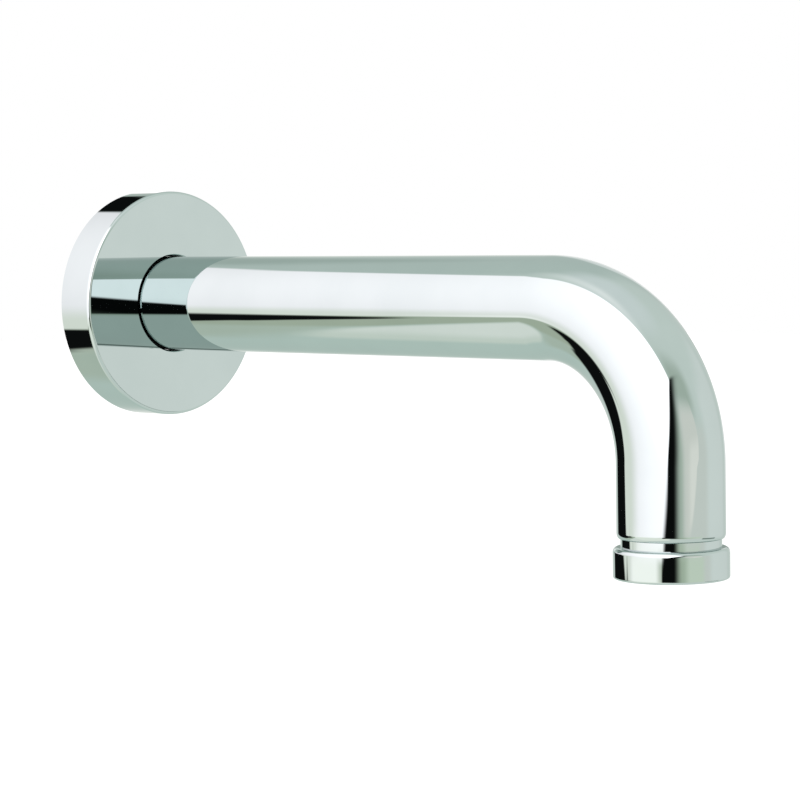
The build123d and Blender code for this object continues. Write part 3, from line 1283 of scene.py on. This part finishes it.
FRONT_CARDS = (
    # Shades along the softbox's lower edge, and the table below it.
    Card(((-78, -2), (-42, -4), (-42, -20), (-78, -20)), (5, 14, 4, 3), (203, 214, 204)),
    Card(
        ((-44, -9.7), (-24, -9.7), (-4, -9.7), (16, -9.7), (36, -9.7), (36, -18), (-44, -18)),
        (1, 1, 1, 1, 3, 3, 6),
        (232, 241, 235),
    ),
    Card(
        ((14, -10.15), (24, -10.15), (34, -10.15), (34, -18), (14, -18)),
        (0.4, 0.4, 3, 3, 7),
        (170, 184, 170),
    ),
    Card(
        (
            (-38, -12.4), (-48, -12.1), (-57, -11.8), (-66, -11.5), (-66, -25), (-58, -27.5),
            (-51, -23.2), (-42, -17.5),
        ),
        (1.2, 1.2, 1.2, 3, 3, 1.2, 1.2, 3),
        (150, 166, 149),
    ),
    Card(
        (
            (-42, -12.4), (-22, -12.4), (-2, -12.4), (18, -12.4), (36, -12.4), (36, -30),
            (-20, -40), (-42, -18),
        ),
        (1.2, 1.2, 1.2, 1.2, 3, 6, 6, 3),
        (210, 222, 212),
    ),
    # Black flags to the left, with one pale sheet: the rim's patches and the stripes along the tube.
    Card(
        ((-100.3, 33), (-108, 30), (-114.5, 24.5), (-117, 20), (-114, 16.5), (-100.3, 26)),
        (1,),
        (10, 13, 13),
    ),
    Card(((-124, 4), (-114, 0), (-116, 12), (-122, 14)), (1.5,), (222, 231, 230)),
    Card(
        (
            (-112, -4), (-75.5, -4), (-70.5, -9), (-67.5, -22), (-73, -23.4), (-78, -23),
            (-90, -20), (-102, -14.8), (-108, -10.8),
        ),
        (1, 0.6, 0.8, 1, 1, 1.2, 1.5, 1.5, 1.5),
        (11, 13, 13),
    ),
    Card(
        ((-72, -8.7), (-60.2, -11.9), (-57, -12.8), (-57, -18.9), (-61, -20.2), (-70, -22.2)),
        (0.8, 1, 0.5, 0.8, 0.8, 1),
        (11, 13, 13),
    ),
    Card(
        (
            (-58, -10.2), (-51.8, -12.7), (-49, -14.5), (-50.7, -16.4), (-55, -18.5),
            (-59.5, -19.8), (-59.5, -13.5),
        ),
        (2, 1.2, 0.8, 0.8, 0.8, 0.5, 0.5),
        (11, 13, 13),
    ),
    # Black flag to the right: the stripe down the nose.
    Card(
        (
            (31.5, -16), (33, -5.5), (35, 0), (40.3, 10), (48, 20), (58, 29.5), (65, 36),
            (92, 38.5), (92, -16),
        ),
        (1.5, 1.2, 1.2, 1.2, 1.2, 1.2, 1.2, 1.5, 3),
        (9, 11, 11),
    ),
    Card(
        ((36, -6.3), (20.5, -10.3), (20.5, -18), (58, -18), (58, -6.3)),
        (1.2, 1.5, 2, 3, 1.2),
        (9, 11, 11),
    ),
)
# Where the room shows again, past the black flag to the right.
BEYOND = Patch(((51, -18), (54, 7), (73, 36), (82, 43), (112, 45), (112, -18)), (8.5, 8.5, 4, 9, 9, 9))


class Dome(Nodes):
    """The light tent round the spout: a big softbox, pale walls and black flags, seen only in reflections.

    Its sizes are in metres. Each ramp of the glow says how the light rises, from one value to another,
    as a ray turns towards the softbox's brightest part.
    """

    CENTRE = Vector((0.170, 0.0, -0.015))
    RADIUS = 0.650
    SEGMENTS = 96
    HIDDEN_FROM = ("camera", "diffuse", "transmission", "volume_scatter", "shadow")
    WALLS: Rgb = (180, 196, 190)
    CEILING: Rgb = (189, 203, 201)
    CEILING_SPAN: Span = (0.82, 1.0)
    GLOW_AIM: Point = (30, 40)
    GLOW_COLOUR: Rgb = (0.955, 1.0, 1.025)
    GLOW_RAMPS = (((-0.40, 0.0), (0.60, 0.79)), ((0.0, 0.80), (0.0, 0.27)), ((0.70, 0.88), (0.0, 0.22)))

    def __init__(self, chrome: ChromeFinish) -> None:
        """Hang the tent and paint it so that the chrome shows the cards' colours.

        Args:
            chrome: the finish that the colours are seen in.
        """
        self.tint = chrome.tint
        bpy.ops.object.select_all(action="DESELECT")
        bpy.ops.mesh.primitive_uv_sphere_add(
            segments=self.SEGMENTS, ring_count=self.SEGMENTS // 2, radius=self.RADIUS, location=self.CENTRE
        )
        self.tent = bpy.context.object
        self.tent.name = "light_tent"
        bpy.ops.object.shade_smooth()
        for kind in self.HIDDEN_FROM:
            setattr(self.tent, f"visible_{kind}", False)
        material = bpy.data.materials.new("light_tent")
        material.use_nodes = True
        super().__init__(material.node_tree)
        material.cycles.emission_sampling = "NONE"
        self.tent.data.materials.append(material)
        self.paint()

    def shown(self, colour: Rgb) -> Rgb:
        """Light that the chrome shows as this screen colour."""
        return tuple(linear(value) / share for value, share in zip(colour, self.tint))

    def mask(self, ray: bpy.types.NodeSocket, patch: Patch) -> bpy.types.NodeSocket:
        """Share of a patch that is seen along a ray.

        Args:
            ray: direction from the tent's centre.
            patch: the patch.

        Returns:
            1 inside the patch, 0 outside, with its edges' fades between.
        """
        points = [direction(*corner) for corner in patch.corners]
        middle = sum(points, Vector())
        inside: bpy.types.NodeSocket | None = None
        for index, point in enumerate(points):
            normal = point.cross(points[(index + 1) % len(points)]).normalized()
            if normal.dot(middle) < 0:
                normal = -normal
            fade = math.sin(math.radians(patch.softness(index)))
            edge = self.remap(self.dot(ray, normal), (-fade, fade), soft=True)
            inside = edge if inside is None else self.maths(Maths.MULTIPLY, inside, edge)
        return inside

    def paint(self) -> None:
        """Lay the cards over each other, back to front."""
        place = self.add("ShaderNodeTexCoord").outputs["Object"]
        unit = self.add("ShaderNodeVectorMath", operation="NORMALIZE")
        self.feed(unit.inputs[0], place)
        ray = unit.outputs["Vector"]
        ceiling = self.remap(self.dot(ray, Vector((0, 0, 1))), self.CEILING_SPAN, soft=True)
        room = self.mix(ceiling, self.shown(self.WALLS), self.shown(self.CEILING))
        for card in ROOM_CARDS:
            room = self.mix(self.mask(ray, card), room, self.shown(card.colour))
        lit, *wings = (self.mask(ray, sheet) for sheet in SOFTBOX)
        for wing in wings:
            lit = self.maths(Maths.MAXIMUM, lit, wing)
        seen = self.mix(lit, room, self.glow(ray))
        for card in FRONT_CARDS:
            seen = self.mix(self.mask(ray, card), seen, self.shown(card.colour))
        seen = self.mix(self.mask(ray, BEYOND), seen, room)
        light = self.add("ShaderNodeEmission")
        self.feed(light.inputs["Color"], seen)
        output = self.add("ShaderNodeOutputMaterial")
        self.feed(output.inputs["Surface"], light.outputs[0])

    def glow(self, ray: bpy.types.NodeSocket) -> bpy.types.NodeSocket:
        """Light of the softbox, which fades towards its lower left.

        Args:
            ray: direction from the tent's centre.

        Returns:
            The light's colour.
        """
        towards = self.dot(ray, direction(*self.GLOW_AIM))
        level, *more = (self.remap(towards, source, target) for source, target in self.GLOW_RAMPS)
        for ramp in more:
            level = self.maths(Maths.ADD, level, ramp)
        scale = self.add("ShaderNodeVectorMath", operation="SCALE")
        colour = tuple(part / share for part, share in zip(self.GLOW_COLOUR, self.tint))
        self.feed(scale.inputs[0], colour)
        self.feed(scale.inputs["Scale"], level)
        return scale.outputs["Vector"]


@dataclass
class Studio:
    """The camera, the pale floor, the white surround and the soft lamp.

    The eye is in millimetres; the floor and the lamp are in metres.
    """

    eye: Triple = (568.016, -491.549, 19.409)
    azimuth: float = 43.912
    elevation: float = 3.588
    roll: float = -0.803
    focal_pixels: float = 2747.403
    frame_pixels: float = 800.0
    sensor: float = 36.0
    nearest: float = 0.01
    floor_level: float = -1.0
    floor_size: float = 40.0
    floor_paint: Rgb = (0.93, 0.93, 0.93)
    floor_glow: float = 0.6
    surround: float = 0.62
    lamp_power: float = 9.0
    lamp_size: tuple[float, float] = (0.9, 0.7)
    lamp_aim: Point = (-10, 48)
    lamp_distance: float = 1.1

    def build(self, chrome: ChromeFinish) -> None:
        """Set everything up round the spout.

        Args:
            chrome: the finish that the tent is painted for.
        """
        Dome(chrome)
        self.camera()
        self.floor()
        self.world()
        self.lamp()
        bpy.context.scene.view_settings.view_transform = "Standard"

    def camera(self) -> None:
        """Stand the camera where the photograph was taken from."""
        data = bpy.data.cameras.new("camera")
        data.sensor_width = self.sensor
        data.lens = self.sensor * self.focal_pixels / self.frame_pixels
        data.clip_start = self.nearest
        camera = bpy.data.objects.new("camera", data)
        bpy.context.scene.collection.objects.link(camera)
        back = direction(self.azimuth, self.elevation)
        turn = math.radians(self.azimuth)
        right = Vector((math.cos(turn), math.sin(turn), 0.0))
        up = back.cross(right)
        tilt = math.radians(self.roll)
        right, up = right * math.cos(tilt) + up * math.sin(tilt), up * math.cos(tilt) - right * math.sin(tilt)
        axes = Matrix((right, up, back)).transposed().to_4x4()
        camera.matrix_world = Matrix.Translation(Vector(self.eye) * MM) @ axes
        bpy.context.scene.camera = camera

    def floor(self) -> None:
        """Lay a wide pale floor that reads white."""
        bpy.ops.object.select_all(action="DESELECT")
        bpy.ops.mesh.primitive_plane_add(size=self.floor_size, location=(0.0, 0.0, self.floor_level))
        floor = bpy.context.object
        floor.name = "floor"
        floor.visible_glossy = False
        material = bpy.data.materials.new("pale_floor")
        material.use_nodes = True
        nodes = Nodes(material.node_tree)
        paint = nodes.add("ShaderNodeBsdfDiffuse")
        nodes.feed(paint.inputs["Color"], self.floor_paint)
        white = nodes.add("ShaderNodeEmission")
        light = nodes.add("ShaderNodeLightPath")
        glow = nodes.maths(Maths.MULTIPLY, light.outputs["Is Camera Ray"], self.floor_glow)
        nodes.feed(white.inputs["Strength"], glow)
        both = nodes.add("ShaderNodeAddShader")
        nodes.feed(both.inputs[0], paint.outputs[0])
        nodes.feed(both.inputs[1], white.outputs[0])
        output = nodes.add("ShaderNodeOutputMaterial")
        nodes.feed(output.inputs["Surface"], both.outputs[0])
        floor.data.materials.append(material)

    def world(self) -> None:
        """Surround the scene with white for the camera and soft light for the rest."""
        world = bpy.data.worlds.new("white_surround")
        world.use_nodes = True
        nodes = Nodes(world.node_tree)
        light = nodes.add("ShaderNodeLightPath")
        background = nodes.add("ShaderNodeBackground")
        nodes.feed(background.inputs["Color"], (1.0, 1.0, 1.0))
        level = nodes.remap(light.outputs["Is Camera Ray"], (0.0, 1.0), (self.surround, 1.0))
        nodes.feed(background.inputs["Strength"], level)
        output = nodes.add("ShaderNodeOutputWorld")
        nodes.feed(output.inputs["Surface"], background.outputs[0])
        bpy.context.scene.world = world

    def lamp(self) -> None:
        """Hang one wide soft lamp over the front left; the chrome sees the tent instead of it."""
        data = bpy.data.lights.new("soft_lamp", "AREA")
        data.shape = "RECTANGLE"
        data.size, data.size_y = self.lamp_size
        data.energy = self.lamp_power
        lamp = bpy.data.objects.new("soft_lamp", data)
        bpy.context.scene.collection.objects.link(lamp)
        towards = direction(*self.lamp_aim)
        lamp.location = Dome.CENTRE + towards * self.lamp_distance
        lamp.rotation_euler = towards.to_track_quat("Z", "Y").to_euler()
        lamp.visible_glossy = False


def main() -> None:
    """Build the spout piece by piece, dress it and light it."""
    logging.basicConfig(level=logging.INFO, format="%(name)s: %(message)s")
    chrome = ChromeFinish()
    finishes = {
        Slot.CHROME: chrome,
        Slot.BRASS: BrassFinish(),
        Slot.RUBBER: RubberFinish(),
        Slot.PLASTIC: PlasticFinish(),
        Slot.FOAM: FoamFinish(),
        Slot.STEEL: SteelFinish(),
    }
    materials = {slot: finish.material() for slot, finish in finishes.items()}
    bench = Bench(TUBE_REACH)
    flange = WallFlange(bench)
    nipple = WallNipple(bench, flange.mouth)
    SpoutTube(bench, nipple.screw_at).build(materials[Slot.CHROME])
    flange.build(materials[Slot.CHROME])
    Outlet(bench).build(materials[Slot.CHROME])
    nipple.build(materials[Slot.BRASS])
    front, rear = nipple.ring_places
    inside, outside, width = nipple.ring_floor, nipple.seal_outside, nipple.seal_width
    seals = (
        Seal(bench, "flange_o_ring", flange.groove_middle, TUBE_RADIUS, flange.groove, flange.seal_width),
        Seal(bench, "nipple_o_ring_front", front, inside, outside, width),
        Seal(bench, "nipple_o_ring_rear", rear, inside, outside, width),
    )
    for seal in seals:
        seal.build(materials[Slot.RUBBER])
    CarriedOver().dress(materials)
    Studio().build(chrome)


if __name__ == "__main__":
    main()
